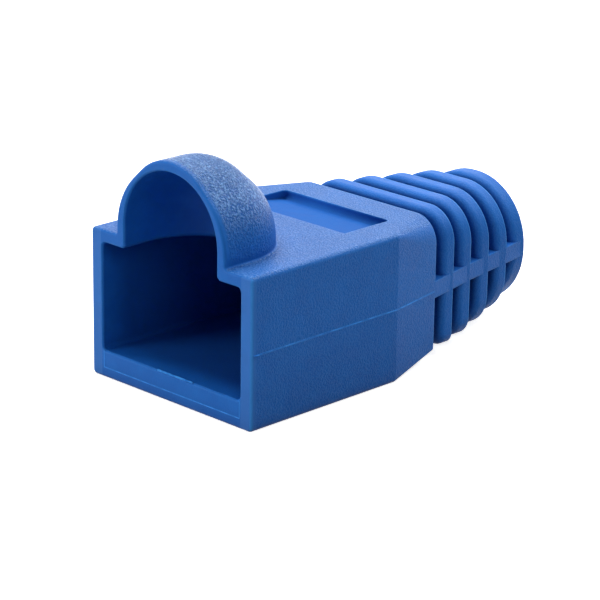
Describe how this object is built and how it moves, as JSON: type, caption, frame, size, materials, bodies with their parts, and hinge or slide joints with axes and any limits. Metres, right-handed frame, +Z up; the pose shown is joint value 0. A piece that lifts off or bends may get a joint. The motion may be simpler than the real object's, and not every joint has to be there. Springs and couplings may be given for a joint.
{
  "type": "rj45 strain relief boot",
  "caption": "Soft moulded boot that slips over a modular network plug, with a domed hood over the latch and a ribbed tail that keeps the cable from kinking.",
  "frame": {"origin": "middle of the part's width and length, on the underside of the housing", "axes": "+X across the width, +Y from the open plug end to the cable end along the cable axis, +Z up from the underside to the latch hood"},
  "size_m": [0.0142, 0.0276, 0.015],
  "materials": {
    "boot": "blue soft PVC, fine spark-eroded texture on the hood and upper surfaces, satin elsewhere"
  },
  "bodies": {
    "root": {"boot_body": "boot"}
  },
  "joints": []
}
